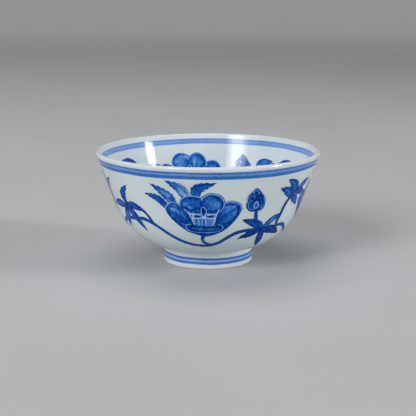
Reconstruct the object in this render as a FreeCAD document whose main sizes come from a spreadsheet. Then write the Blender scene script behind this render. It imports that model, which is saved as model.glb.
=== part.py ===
"""A footed porcelain tea bowl: clay wall and foot ring, their glaze, and the cobalt rings in the glaze.

Millimetres, +Z up. The origin is on the table, under the middle of the foot. Every piece is a turned
shape about Z. A glaze coat is drawn once, and horizontal slabs divide it at the edges of its blue rings.
"""
import FreeCAD, Part

import math
import os

import Sketcher

Vec = FreeCAD.Vector

# ---------------------------------------------------------------- driving dimensions
DIMENSIONS = [
    # the whole bowl
    ("rim_radius", 57.3, "widest radius, at the lip"),
    ("bowl_height", 58.0, "table to the crown of the lip"),
    ("lip_radius", 1.15, "rounding of the lip, half the wall's thickness there"),
    # outside of the wall, from the lip down
    ("flare_radius", 80.0, "hollow curve that turns the rim outwards"),
    ("flare_drop", 6.0, "crown of the lip down to where that curve leaves the straight wall"),
    ("wall_lean", 70.25, "straight wall, degrees from level"),
    ("straight_height", 31.5, "where the straight wall starts to round in"),
    ("hip_slope", 48.4, "slope where the rounding tightens towards the foot, degrees from level"),
    ("foot_slope", 8.0, "slope of the wall where it meets the foot, degrees from level"),
    # inside of the wall
    ("inner_hip_radius", 30.0, "rounding of the inside above the floor"),
    ("floor_radius", 110.0, "dish of the floor"),
    ("floor_height", 10.5, "table to the lowest point of the inside"),
    # foot
    ("foot_radius", 23.2, "outside of the foot"),
    ("foot_height", 8.9, "table to the corner between foot and wall"),
    ("foot_thickness", 3.0, "foot ring with its glaze"),
    ("recess_height", 6.4, "table to the glazed underside of the floor"),
    ("recess_corner", 1.2, "glaze pooled in the corner of the recess"),
    ("bare_edge", 0.7, "height of the unglazed edge that rests on the table"),
    ("edge_round", 0.5, "rounding of that edge"),
    # glaze and cobalt
    ("glaze", 0.35, "thickness of the glaze"),
    ("outer_lip_white", 2.35, "crown of the lip down to the outer rings"),
    ("rim_upper_width", 1.05, "upper line outside the rim"),
    ("rim_wash_width", 1.0, "pale wash between the lines"),
    ("rim_lower_width", 1.55, "lower line outside the rim"),
    ("inner_lip_white", 2.6, "crown of the lip down to the inner rings"),
    ("inner_upper_width", 0.6, "upper line inside the rim"),
    ("inner_wash_width", 1.6, "wash between the inner lines"),
    ("inner_lower_width", 0.6, "lower line inside the rim"),
    ("foot_lower_white", 2.6, "table to the foot's lower line"),
    ("foot_lower_width", 1.2, "lower line round the foot"),
    ("foot_wash_width", 1.2, "wash between the foot's lines"),
    ("foot_upper_width", 0.9, "upper line round the foot"),
    ("slab_reach", 5.0, "how far a dividing slab passes the rim"),
]

doc = FreeCAD.newDocument("FootedTeaBowl")
sheet = doc.addObject("Spreadsheet::Sheet", "Dimensions")
for row, (alias, value, meaning) in enumerate(DIMENSIONS, start=1):
    sheet.set(f"A{row}", meaning)
    sheet.set(f"B{row}", str(value))
    sheet.setAlias(f"B{row}", alias)
doc.recompute()


def size(alias):
    """Read a dimension from the sheet."""
    return float(sheet.get(alias))


def rule(text):
    """Turn a rule in plain dimension names into one that any object can follow."""
    for alias in sorted((name for name, _, _ in DIMENSIONS), key=len, reverse=True):
        text = text.replace("$" + alias, "Dimensions." + alias)
    return text


# ---------------------------------------------------------------- outlines
START, END, CENTRE = 1, 2, 3
ORIGIN = (-1, START)
VERTICAL_AXIS = -2


def polar(centre, radius, angle):
    """The point of a circle at an angle, in radians from the level axis."""
    return Vec(centre.x + radius * math.cos(angle), centre.y + radius * math.sin(angle), 0)


def toward(start, end):
    """The angle of the way from one point to another."""
    return math.atan2(end.y - start.y, end.x - start.x)


class Outline:
    """A sketch in its body's XZ plane. Its curves start in place, and rules tie them to the sheet."""

    def __init__(self, body, name):
        self.sketch = body.newObject("Sketcher::SketchObject", name)
        plane = next(item for item in body.Origin.OriginFeatures if item.Role == "XZ_Plane")
        self.sketch.AttachmentSupport = [(plane, "")]
        self.sketch.MapMode = "FlatFace"

    def line(self, start, end):
        return self.sketch.addGeometry(Part.LineSegment(start, end))

    def arc(self, centre, radius, first, last):
        circle = Part.Circle(centre, Vec(0, 0, 1), radius)
        return self.sketch.addGeometry(Part.ArcOfCircle(circle, first, last))

    def point(self, curve, which):
        """The place of a curve's end."""
        return self.sketch.getPoint(curve, which)

    def is_arc(self, curve):
        return isinstance(self.sketch.Geometry[curve], Part.ArcOfCircle)

    def tie(self, kind, *references):
        """Add a geometric constraint."""
        return self.sketch.addConstraint(Sketcher.Constraint(kind, *references))

    def drive(self, kind, references, text):
        """Add a dimension that follows a rule."""
        value = self.sketch.evalExpression(rule(text))
        number = float(getattr(value, "Value", value))
        if kind == "Angle":
            number = math.radians(number)
        index = self.tie(kind, *references, number)
        self.sketch.setExpression(f"Constraints[{index}]", rule(text))

    def place(self, curve, point, level=None, height=None):
        """Hold a point at a distance from the axis and at a height."""
        if level is not None:
            self.drive("DistanceX", (*ORIGIN, curve, point), level)
        if height is not None:
            self.drive("DistanceY", (*ORIGIN, curve, point), height)

    def bridge(self, first, first_end, second, second_end):
        """Join the ends of two curves with a straight line."""
        line = self.line(self.point(first, first_end), self.point(second, second_end))
        self.tie("Coincident", first, first_end, line, START)
        self.tie("Coincident", second, second_end, line, END)

    def polyline(self, points):
        """Draw straight lines through points, each given as two rules, and close them."""
        spots = [
            Vec(*(float(self.sketch.evalExpression(rule(text))) for text in pair), 0) for pair in points
        ]
        lines = [self.line(spot, spots[(i + 1) % len(spots)]) for i, spot in enumerate(spots)]
        for i, (level, height) in enumerate(points):
            self.tie("Coincident", lines[i - 1], END, lines[i], START)
            self.place(lines[i], START, level, height)


def turned(body, outline):
    """Turn an outline through a full circle about the bowl's axis."""
    doc.recompute()
    turn = body.newObject("PartDesign::Revolution", body.Name + "Turn")
    turn.Profile = outline.sketch
    turn.ReferenceAxis = (outline.sketch, ["V_Axis"])
    turn.Angle = 360
    doc.recompute()
    return turn


# ---------------------------------------------------------------- the section of the glazed wall
GLAZE = size("glaze")
AT_A_CORNER = 0.1 * GLAZE  # an edge this near to a corner point ends there
JOINT = "$recess_height + $glaze"
FOOT_CLAY = "$foot_radius - $glaze"
RECESS_CLAY = "$foot_radius - $foot_thickness + $glaze"
LEAN = math.radians(size("wall_lean"))
OUTWARD = LEAN - math.pi / 2
CROWN = math.pi / 2
LIP_CENTRE = Vec(size("rim_radius") - size("lip_radius"), size("bowl_height") - size("lip_radius"), 0)


def flare_centre():
    """Centre of the hollow curve: it touches the lip, and the straight wall at the flare's height."""
    radius = size("flare_radius")
    height = size("bowl_height") - size("flare_drop") - radius * math.cos(LEAN)
    reach = radius + size("lip_radius")
    return Vec(LIP_CENTRE.x + math.sqrt(reach**2 - (height - LIP_CENTRE.y) ** 2), height, 0)


FLARE_CENTRE = flare_centre()
LIP_FACING = toward(LIP_CENTRE, FLARE_CENTRE)


def outer_hips(wall_foot):
    """Centres and radii of the two curves from the straight wall's foot down to the foot ring."""
    low, turn = math.radians(size("foot_slope")), math.radians(size("hip_slope"))
    corner = Vec(size("foot_radius"), size("foot_height"), 0)
    span = wall_foot - corner
    # each curve crosses a fixed vector for every millimetre of its radius, so two radii fill the span
    lower = Vec(math.sin(turn) - math.sin(low), math.cos(low) - math.cos(turn), 0)
    upper = Vec(math.sin(LEAN) - math.sin(turn), math.cos(turn) - math.cos(LEAN), 0)
    whole = lower.cross(upper).z
    lower_radius = span.cross(upper).z / whole
    upper_radius = lower.cross(span).z / whole
    lower_centre = polar(corner, lower_radius, low + math.pi / 2)
    upper_centre = polar(wall_foot, upper_radius, OUTWARD + math.pi)
    return lower_centre, lower_radius, upper_centre, upper_radius


def inner_hip_centre(wall_top):
    """Centre of the inside's rounding, which touches the straight wall and the floor."""
    radius = size("inner_hip_radius")
    outward = Vec(math.cos(OUTWARD), math.sin(OUTWARD), 0)
    down = Vec(-math.cos(LEAN), -math.sin(LEAN), 0)
    across = (wall_top - FLOOR_CENTRE).dot(outward) - radius
    along = math.sqrt((size("floor_radius") - radius) ** 2 - across**2)
    return FLOOR_CENTRE + outward * across + down * along


FLOOR_CENTRE = Vec(0, size("floor_height") + size("floor_radius"), 0)


class Side:
    """One side of the wall's section, drawn as a row of touching curves from the lip downwards.

    The skin is the surface of the glaze. The clay is the same row sunk by the glaze's thickness, so
    each of its curves shares a centre with the curve of the skin over it.
    """

    def __init__(self, outline, lip_point):
        self.outline = outline
        self.lip_point = lip_point

    def upper_curves(self, lip, flare_radius, wall_foot):
        """Draw the flare and the straight wall under a lip."""
        top = polar(FLARE_CENTRE, flare_radius, OUTWARD + math.pi)
        flare = self.outline.arc(FLARE_CENTRE, flare_radius, LIP_FACING + math.pi, OUTWARD + math.pi)
        wall = self.outline.line(wall_foot, top)
        self.outline.tie("Tangent", lip, self.lip_point, flare, START)
        self.outline.tie("Tangent", flare, END, wall, END)
        return flare, wall

    def lower_curves(self, wall, upper, lower, meeting):
        """Draw two hips under the straight wall: each is a centre, a radius and its far angle."""
        upper_hip = self.outline.arc(upper[0], upper[1], meeting, OUTWARD)
        lower_hip = self.outline.arc(lower[0], lower[1], lower[2], meeting)
        self.outline.tie("Tangent", wall, START, upper_hip, END)
        self.outline.tie("Tangent", upper_hip, START, lower_hip, END)
        return upper_hip, lower_hip

    def follow(self, clay_curves, skin_curves):
        """Share the skin's centres, and keep the straight walls parallel."""
        for clay, skin in zip(clay_curves, skin_curves):
            if self.outline.is_arc(skin):
                self.outline.tie("Coincident", clay, CENTRE, skin, CENTRE)
            else:
                self.outline.tie("Parallel", clay, skin)


def lip_arc(outline, depth, first, last):
    """Draw the rounded lip, sunk by a depth."""
    lip = outline.arc(LIP_CENTRE, size("lip_radius") - depth, first, last)
    outline.place(lip, CENTRE, "$rim_radius - $lip_radius", "$bowl_height - $lip_radius")
    outline.drive("Radius", (lip,), "$lip_radius - $glaze" if depth else "$lip_radius")
    return lip


def outer_side(outline, skin_lip, clay_lip, lip_point):
    """Draw the outside of the wall, skin and clay, from the lip to the foot.

    Return the curves of each, and where the clay meets the clay of the foot.
    """
    side = Side(outline, lip_point)
    radius = size("flare_radius")
    top = polar(FLARE_CENTRE, radius, OUTWARD + math.pi)
    foot = Vec(top.x - (top.y - size("straight_height")) / math.tan(LEAN), size("straight_height"), 0)
    lower_centre, lower_radius, upper_centre, upper_radius = outer_hips(foot)
    meeting = math.radians(size("hip_slope")) - math.pi / 2
    corner = math.radians(size("foot_slope")) - math.pi / 2

    flare, wall = side.upper_curves(skin_lip, radius, foot)
    upper_hip, hip = side.lower_curves(
        wall, (upper_centre, upper_radius), (lower_centre, lower_radius, corner), meeting
    )
    outline.drive("Radius", (flare,), "$flare_radius")
    outline.drive("Angle", (wall,), "$wall_lean * 1 deg")
    outline.place(wall, END, height="$bowl_height - $flare_drop")
    outline.place(wall, START, height="$straight_height")
    outline.place(hip, START, "$foot_radius", "$foot_height")
    for far, text in ((START, "$foot_slope * 1 deg + 90 deg"), (END, "$hip_slope * 1 deg + 90 deg")):
        spoke = outline.line(outline.point(hip, far), lower_centre)
        outline.sketch.setConstruction(spoke, True)
        outline.tie("Coincident", spoke, START, hip, far)
        outline.tie("Coincident", spoke, END, hip, CENTRE)
        outline.drive("Angle", (spoke,), text)
    skin = [flare, wall, upper_hip, hip]

    inward = Vec(math.cos(OUTWARD), math.sin(OUTWARD), 0) * -GLAZE
    clay_corner = -math.acos((size("foot_radius") - GLAZE - lower_centre.x) / (lower_radius - GLAZE))
    upper = side.upper_curves(clay_lip, radius + GLAZE, foot + inward)
    lower = side.lower_curves(
        upper[1],
        (upper_centre, upper_radius - GLAZE),
        (lower_centre, lower_radius - GLAZE, clay_corner),
        meeting,
    )
    clay = [*upper, *lower]
    side.follow(clay, skin)
    outline.place(clay[-1], START, level=FOOT_CLAY)
    return skin, clay


def inner_side(outline, skin_lip, clay_lip, lip_point):
    """Draw the inside of the wall, skin and clay, from the lip to the middle of the floor."""
    side = Side(outline, lip_point)
    radius = size("flare_radius") + 2 * size("lip_radius")
    hip_radius, floor_radius = size("inner_hip_radius"), size("floor_radius")
    hip_centre = inner_hip_centre(polar(FLARE_CENTRE, radius, OUTWARD + math.pi))
    meeting = toward(FLOOR_CENTRE, hip_centre)
    middle = -math.pi / 2

    flare, wall = side.upper_curves(skin_lip, radius, polar(hip_centre, hip_radius, OUTWARD))
    hip, floor = side.lower_curves(
        wall, (hip_centre, hip_radius), (FLOOR_CENTRE, floor_radius, middle), meeting
    )
    outline.drive("Radius", (flare,), "$flare_radius + 2 * $lip_radius")
    outline.drive("Angle", (wall,), "$wall_lean * 1 deg")
    outline.place(
        wall, END, height="$bowl_height - $flare_drop + 2 * $lip_radius * cos($wall_lean * 1 deg)"
    )
    outline.drive("Radius", (hip,), "$inner_hip_radius")
    outline.drive("Radius", (floor,), "$floor_radius")
    outline.tie("PointOnObject", floor, CENTRE, VERTICAL_AXIS)
    outline.tie("PointOnObject", floor, START, VERTICAL_AXIS)
    outline.place(floor, START, height="$floor_height")
    skin = [flare, wall, hip, floor]

    upper = side.upper_curves(clay_lip, radius - GLAZE, polar(hip_centre, hip_radius + GLAZE, OUTWARD))
    lower = side.lower_curves(
        upper[1], (hip_centre, hip_radius + GLAZE), (FLOOR_CENTRE, floor_radius + GLAZE, middle), meeting
    )
    clay = [*upper, *lower]
    side.follow(clay, skin)
    outline.tie("PointOnObject", clay[-1], START, VERTICAL_AXIS)
    return skin, clay


# ---------------------------------------------------------------- clay


def make_bowl_wall():
    """Wall and floor, with a flat underside that the foot ring is luted to."""
    body = doc.addObject("PartDesign::Body", "BowlWall")
    body.Label = "bowl_wall"
    outline = Outline(body, "WallSection")
    skin_lip = lip_arc(outline, 0.0, LIP_FACING, LIP_FACING + math.pi)
    lip = lip_arc(outline, GLAZE, LIP_FACING, LIP_FACING + math.pi)
    outer_skin, outer_clay = outer_side(outline, skin_lip, lip, START)
    inner_skin, inner_clay = inner_side(outline, skin_lip, lip, END)
    for curve in [skin_lip, *outer_skin, *inner_skin]:
        outline.sketch.setConstruction(curve, True)
    hip, floor = outer_clay[-1], inner_clay[-1]
    corner = outline.point(hip, START)
    boss_edge = Vec(corner.x, size("recess_height") + GLAZE, 0)
    boss_middle = Vec(0, boss_edge.y, 0)
    side = outline.line(corner, boss_edge)
    underside = outline.line(boss_edge, boss_middle)
    axis = outline.line(boss_middle, outline.point(floor, START))
    outline.tie("Coincident", hip, START, side, START)
    outline.tie("Coincident", side, END, underside, START)
    outline.tie("Coincident", underside, END, axis, START)
    outline.tie("Coincident", axis, END, floor, START)
    outline.place(side, END, FOOT_CLAY, JOINT)
    outline.tie("PointOnObject", axis, START, VERTICAL_AXIS)
    outline.tie("Horizontal", underside)
    turned(body, outline)


def make_foot_ring():
    """A plain ring whose lower edges are rounded, because that edge is bare and rests on the table."""
    body = doc.addObject("PartDesign::Body", "FootRing")
    body.Label = "foot_ring"
    outline = Outline(body, "RingSection")
    outline.polyline([(RECESS_CLAY, "0"), (FOOT_CLAY, "0"), (FOOT_CLAY, JOINT), (RECESS_CLAY, JOINT)])
    turn = turned(body, outline)
    flat_edges = enumerate(turn.Shape.Edges, start=1)
    lower = [f"Edge{i}" for i, edge in flat_edges if abs(edge.BoundBox.ZMax) < Part.Precision.confusion()]
    rounding = body.newObject("PartDesign::Fillet", "RestingEdge")
    rounding.Base = (turn, lower)
    rounding.setExpression("Radius", rule("$edge_round"))


# ---------------------------------------------------------------- glaze coats
def make_outer_coat():
    """Glaze from the crown of the lip down the outside to the foot's bare edge."""
    body = doc.addObject("PartDesign::Body", "OuterCoat")
    outline = Outline(body, "OuterCoatSection")
    skin_lip = lip_arc(outline, 0.0, LIP_FACING, CROWN)
    clay_lip = lip_arc(outline, GLAZE, LIP_FACING, CROWN)
    skin, clay = outer_side(outline, skin_lip, clay_lip, START)
    sides = []
    for hip, level in ((skin[-1], "$foot_radius"), (clay[-1], FOOT_CLAY)):
        corner = outline.point(hip, START)
        side = outline.line(corner, Vec(corner.x, size("bare_edge"), 0))
        outline.tie("Coincident", hip, START, side, START)
        outline.place(side, END, level, "$bare_edge")
        sides.append(side)
    outline.bridge(skin_lip, END, clay_lip, END)
    outline.bridge(sides[0], END, sides[1], END)
    for lip in (skin_lip, clay_lip):
        outline.tie("Vertical", lip, END, lip, CENTRE)
    turned(body, outline)
    return body


def make_inner_coat():
    """Glaze from the crown of the lip down the inside to the middle of the floor."""
    body = doc.addObject("PartDesign::Body", "InnerCoat")
    outline = Outline(body, "InnerCoatSection")
    skin_lip = lip_arc(outline, 0.0, CROWN, LIP_FACING + math.pi)
    clay_lip = lip_arc(outline, GLAZE, CROWN, LIP_FACING + math.pi)
    skin, clay = inner_side(outline, skin_lip, clay_lip, END)
    outline.bridge(skin_lip, START, clay_lip, START)
    outline.bridge(skin[-1], START, clay[-1], START)
    for lip in (skin_lip, clay_lip):
        outline.tie("Vertical", lip, START, lip, CENTRE)
    turned(body, outline)
    return body


def make_recess_glaze():
    """Glaze inside the foot: up the ring, round a pooled corner, and across the underside."""
    body = doc.addObject("PartDesign::Body", "RecessGlaze")
    body.Label = "recess_glaze"
    outline = Outline(body, "RecessSection")
    skin = "$foot_radius - $foot_thickness"
    outline.polyline(
        [
            ("0", "$recess_height"),
            (skin, "$recess_height"),
            (skin, "$bare_edge"),
            (RECESS_CLAY, "$bare_edge"),
            (RECESS_CLAY, JOINT),
            ("0", JOINT),
        ]
    )
    turn = turned(body, outline)
    corner = Vec(size("foot_radius") - size("foot_thickness"), 0, size("recess_height"))
    inner = [
        f"Edge{i}"
        for i, edge in enumerate(turn.Shape.Edges, start=1)
        if edge.Length > size("foot_thickness") and edge.distToShape(Part.Vertex(corner))[0] < AT_A_CORNER
        and edge.BoundBox.ZLength < GLAZE
    ]
    pool = body.newObject("PartDesign::Fillet", "PooledCorner")
    pool.Base = (turn, inner)
    pool.setExpression("Radius", rule("$recess_corner"))


# ---------------------------------------------------------------- rings of the coats
def make_zone(name, coat, low, high):
    """The part of a coat between two heights, given as rules."""
    slab = doc.addObject("Part::Cylinder", name + "_slab")
    slab.setExpression("Radius", rule("$rim_radius + $slab_reach"))
    slab.setExpression("Height", rule(f"({high}) - ({low})"))
    slab.setExpression("Placement.Base.z", rule(low))
    zone = doc.addObject("Part::Common", name)
    zone.Base = coat
    zone.Tool = slab
    zone.Label = name
    return zone


def make_zones(coat, floor_rule, widths):
    """Divide a coat upwards from a height into named rings, and return the height above the last."""
    low = floor_rule
    for name, width in widths:
        high = f"{low} + {width}"
        make_zone(name, coat, low, high)
        low = high
    return low


make_bowl_wall()
make_foot_ring()
make_recess_glaze()
outer_coat = make_outer_coat()
inner_coat = make_inner_coat()

foot_rings = [
    ("foot_lower_line", "$foot_lower_width"),
    ("foot_wash", "$foot_wash_width"),
    ("foot_upper_line", "$foot_upper_width"),
]
rim_rings = [
    ("rim_lower_line", "$rim_lower_width"),
    ("rim_wash", "$rim_wash_width"),
    ("rim_upper_line", "$rim_upper_width"),
]
inner_rings = [
    ("inner_lower_line", "$inner_lower_width"),
    ("inner_wash", "$inner_wash_width"),
    ("inner_upper_line", "$inner_upper_width"),
]


def ring_foot(lip_white, rings):
    """The height under a set of rings that hangs from the crown of the lip."""
    return " - ".join(["$bowl_height", lip_white] + [width for _, width in rings])


make_zone("foot_lower_glaze", outer_coat, "$bare_edge", "$foot_lower_white")
foot_rings_top = make_zones(outer_coat, "$foot_lower_white", foot_rings)
make_zone("foot_upper_glaze", outer_coat, foot_rings_top, "$foot_height")

outer_rings_foot = ring_foot("$outer_lip_white", rim_rings)
make_zone("belly_glaze", outer_coat, "$foot_height", outer_rings_foot)
make_zones(outer_coat, outer_rings_foot, rim_rings)

inner_rings_foot = ring_foot("$inner_lip_white", inner_rings)
make_zone("interior_glaze", inner_coat, "$floor_height - $glaze", inner_rings_foot)
make_zones(inner_coat, inner_rings_foot, inner_rings)

crown = "$bowl_height + $slab_reach"
lip_outside = make_zone("lip_outside", outer_coat, "$bowl_height - $outer_lip_white", crown)
lip_inside = make_zone("lip_inside", inner_coat, "$bowl_height - $inner_lip_white", crown)
lip_glaze = doc.addObject("Part::Fuse", "lip_glaze")
lip_glaze.Base = lip_outside
lip_glaze.Tool = lip_inside
lip_glaze.Refine = True
lip_glaze.Label = "lip_glaze"

# ---------------------------------------------------------------- check and write
NODES = ["bowl_wall", "foot_ring", "recess_glaze", "lip_glaze", "belly_glaze", "interior_glaze"]
NODES += ["foot_lower_glaze", "foot_upper_glaze"]
NODES += [name for name, _ in foot_rings + rim_rings + inner_rings]

doc.recompute()
for item in doc.Objects:
    if "Invalid" in item.State or "Error" in item.State:
        raise RuntimeError(f"{item.Label} failed: {item.State}")
for node in NODES:
    shape = doc.getObjectsByLabel(node)[0].Shape
    if shape.isNull() or not shape.isValid() or len(shape.Solids) != 1:
        raise RuntimeError(f"{node} is not one valid solid")

os.makedirs("parts", exist_ok=True)
for node in NODES:
    shape = doc.getObjectsByLabel(node)[0].Shape
    shape.exportStep(f"parts/{node}.step")
    box = shape.optimalBoundingBox(False)
    print(f"{node}: {shape.Volume:.2f} mm3, z {box.ZMin:.2f} to {box.ZMax:.2f}")
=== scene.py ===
import math

import bpy
import numpy as np
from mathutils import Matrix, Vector


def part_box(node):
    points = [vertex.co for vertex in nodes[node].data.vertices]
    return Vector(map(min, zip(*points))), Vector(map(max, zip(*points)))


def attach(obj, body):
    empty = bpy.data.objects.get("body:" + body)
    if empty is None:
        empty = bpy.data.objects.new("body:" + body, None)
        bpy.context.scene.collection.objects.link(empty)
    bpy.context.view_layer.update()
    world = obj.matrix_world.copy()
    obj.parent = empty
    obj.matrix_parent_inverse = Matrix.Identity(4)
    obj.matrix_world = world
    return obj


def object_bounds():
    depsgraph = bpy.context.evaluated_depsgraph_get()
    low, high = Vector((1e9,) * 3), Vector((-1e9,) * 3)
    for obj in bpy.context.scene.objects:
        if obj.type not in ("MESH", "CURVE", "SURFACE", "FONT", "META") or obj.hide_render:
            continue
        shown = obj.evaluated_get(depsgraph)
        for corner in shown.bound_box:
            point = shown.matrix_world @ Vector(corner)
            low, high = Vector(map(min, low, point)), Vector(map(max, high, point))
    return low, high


MM = 0.001

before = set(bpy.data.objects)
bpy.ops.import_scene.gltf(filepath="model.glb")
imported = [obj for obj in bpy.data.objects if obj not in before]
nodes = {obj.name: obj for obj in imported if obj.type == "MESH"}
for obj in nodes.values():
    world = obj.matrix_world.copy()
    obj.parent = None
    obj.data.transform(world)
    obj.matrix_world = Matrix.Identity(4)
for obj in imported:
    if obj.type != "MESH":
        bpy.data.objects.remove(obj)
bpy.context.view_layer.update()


# ---------------------------------------------------------------- camera and light

CAMERA_PLACE = (0.0, -0.477, 0.1322)
CAMERA_TILT = 77.53      # degrees up from looking straight down
CAMERA_LENS = 81.3       # millimetres, on a frame 36 mm wide


def set_camera():
    lens = bpy.data.cameras.new("camera")
    lens.sensor_width = 36.0
    lens.lens = CAMERA_LENS
    camera = bpy.data.objects.new("camera", lens)
    camera.location = CAMERA_PLACE
    camera.rotation_euler = (math.radians(CAMERA_TILT), 0.0, 0.0)
    bpy.context.scene.collection.objects.link(camera)
    bpy.context.scene.camera = camera


# name, place, width, height, watts, and the angle of the beam in degrees
LAMPS = [
    ("key_softbox", (-1.50, -1.92, 1.36), 1.08, 1.30, 21.0, 180.0),
    ("key_softbox_core", (-1.48, -1.90, 1.33), 0.60, 1.20, 13.5, 180.0),
    ("key_halo", (-1.80, -1.70, 1.38), 1.5, 1.8, 12.0, 180.0),
    ("side_strip", (2.27, -0.55, 0.76), 0.40, 0.88, 3.2, 60.0),
    ("top_softbox", (-0.2, 0.35, 2.5), 1.8, 1.8, 23.0, 180.0)]
LIT_POINT = (0.0, 0.0, 0.04)
SKY_COLOUR, SKY_STRENGTH = (0.93, 0.96, 1.0, 1.0), 0.05


def softbox(name, place, width, height, watts, spread):
    """A soft lamp turned to the bowl."""
    lamp = bpy.data.lights.new(name, "AREA")
    lamp.shape = "RECTANGLE"
    lamp.size = width
    lamp.size_y = height
    lamp.energy = watts
    lamp.spread = math.radians(spread)
    thing = bpy.data.objects.new(name, lamp)
    thing.location = place
    bpy.context.scene.collection.objects.link(thing)
    way = Vector(LIT_POINT) - thing.location
    thing.rotation_euler = way.to_track_quat("-Z", "Y").to_euler()


def set_light():
    world = bpy.data.worlds.new("studio")
    world.use_nodes = True
    sky = world.node_tree.nodes["Background"]
    sky.inputs["Color"].default_value = SKY_COLOUR
    sky.inputs["Strength"].default_value = SKY_STRENGTH
    bpy.context.scene.world = world
    bpy.context.scene.view_settings.view_transform = "Standard"
    for lamp in LAMPS:
        softbox(*lamp)


# ---------------------------------------------------------------- node helpers

NOISE_LOW, NOISE_HIGH = 0.3, 0.7


class Graph:
    """A node tree with short ways to add and join nodes."""

    def __init__(self, tree):
        self.tree = tree

    def add(self, kind, **settings):
        node = self.tree.nodes.new(kind)
        for key, value in settings.items():
            setattr(node, key, value)
        return node

    def feed(self, node, socket, value):
        """Joins an output to a socket, or sets the socket to a plain value."""
        target = node.inputs[socket]
        if isinstance(value, bpy.types.NodeSocket):
            self.tree.links.new(value, target)
        else:
            target.default_value = value

    def math(self, operation, *values, clamp=False):
        node = self.add("ShaderNodeMath", operation=operation, use_clamp=clamp)
        for i, value in enumerate(values):
            self.feed(node, i, value)
        return node.outputs[0]

    def noise(self, vector, scale, detail=2.0, roughness=0.5):
        node = self.add("ShaderNodeTexNoise")
        self.feed(node, "Vector", vector)
        self.feed(node, "Scale", scale)
        self.feed(node, "Detail", detail)
        self.feed(node, "Roughness", roughness)
        return node.outputs["Fac"]

    def spread(self, value, low, high, to_low=0.0, to_high=1.0, smooth=False):
        node = self.add("ShaderNodeMapRange")
        if smooth:
            node.interpolation_type = "SMOOTHSTEP"
        for socket, number in zip(("Value", "From Min", "From Max", "To Min", "To Max"),
                                  (value, low, high, to_low, to_high)):
            self.feed(node, socket, number)
        return node.outputs["Result"]

    def vary(self, noise, to_low, to_high):
        """Stretches a noise, most of which lies in the middle of its range, to other limits."""
        return self.spread(noise, NOISE_LOW, NOISE_HIGH, to_low, to_high)

    def mix(self, share, first, second, blend="MIX"):
        node = self.add("ShaderNodeMix", data_type="RGBA", blend_type=blend)
        self.feed(node, 0, share)
        self.feed(node, 6, first)
        self.feed(node, 7, second)
        return node.outputs[2]

    def ramp(self, value, stops):
        node = self.add("ShaderNodeValToRGB")
        band = node.color_ramp
        while len(band.elements) < len(stops):
            band.elements.new(1.0)
        for element, (place, colour) in zip(band.elements, stops):
            element.position = place
            element.color = (*colour, 1.0)
        self.feed(node, "Fac", value)
        return node.outputs["Color"]


def new_group(name, inputs, outputs):
    """A node group with named sockets: (name, kind, default)."""
    tree = bpy.data.node_groups.new(name, "ShaderNodeTree")
    for label, kind, default in inputs:
        socket = tree.interface.new_socket(label, in_out="INPUT", socket_type="NodeSocket" + kind)
        socket.default_value = default
    for label, kind in outputs:
        tree.interface.new_socket(label, in_out="OUTPUT", socket_type="NodeSocket" + kind)
    graph = Graph(tree)
    return graph, graph.add("NodeGroupInput").outputs, graph.add("NodeGroupOutput")


def place_group(graph, tree, **values):
    node = graph.add("ShaderNodeGroup", node_tree=tree)
    for name, value in values.items():
        graph.feed(node, name.replace("_", " ").title(), value)
    return node.outputs


# ---------------------------------------------------------------- groups: glaze, rings, cobalt

GLAZE_WHITE = (0.70, 0.76, 0.79, 1.0)
PINHOLE_GREY = (0.45, 0.47, 0.48, 1.0)

# cobalt from a breath of pale blue to the inky pools at the end of a stroke
COBALT_STOPS = [
    (0.0, (0.45, 0.58, 0.84)), (0.25, (0.21, 0.375, 0.74)), (0.45, (0.034, 0.18, 0.56)),
    (0.62, (0.006, 0.104, 0.46)), (0.8, (0.0, 0.054, 0.31)), (1.0, (0.0, 0.016, 0.15))]
FULL_COVER = 0.22        # ink at which no white glaze shows through

# how many of each kind of mark fit in a metre
GLAZE_CLOUDS, GLAZE_PINHOLES, GLAZE_HAZE, GLAZE_SWELLS = 38.0, 900.0, 160.0, 70.0
BRUSH_SWAYS, BRUSH_LOADS, COBALT_GRAINS = 45.0, 26.0, 850.0
CLAY_GRAINS, CLAY_CLOUDS = 1400.0, 90.0
PAPER_CLOUDS = 6.0


def porcelain_glaze_group():
    """White porcelain under a clear, faintly blue glaze: colour, gloss and a soft ripple."""
    graph, given, out = new_group(
        "porcelain_glaze",
        [("White", "Color", GLAZE_WHITE), ("Ripple", "Float", 1.0)],
        [("Color", "Color"), ("Roughness", "Float"), ("Height", "Float")])
    where = graph.add("ShaderNodeNewGeometry").outputs["Position"]
    shade = graph.vary(graph.noise(where, GLAZE_CLOUDS, 3.0), 0.965, 1.02)
    tone = graph.add("ShaderNodeCombineColor")
    for i in range(3):
        graph.feed(tone, i, shade)
    colour = graph.mix(1.0, given["White"], tone.outputs[0], "MULTIPLY")
    pinhole = graph.spread(graph.noise(where, GLAZE_PINHOLES, 1.0), 0.74, 0.80, 0.0, 0.25)
    graph.feed(out, "Color", graph.mix(pinhole, colour, PINHOLE_GREY))
    graph.feed(out, "Roughness", graph.vary(graph.noise(where, GLAZE_HAZE, 3.0), 0.05, 0.11))
    swell = graph.noise(where, GLAZE_SWELLS)
    graph.feed(out, "Height", graph.math("MULTIPLY", swell, given["Ripple"]))
    return graph.tree


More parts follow.
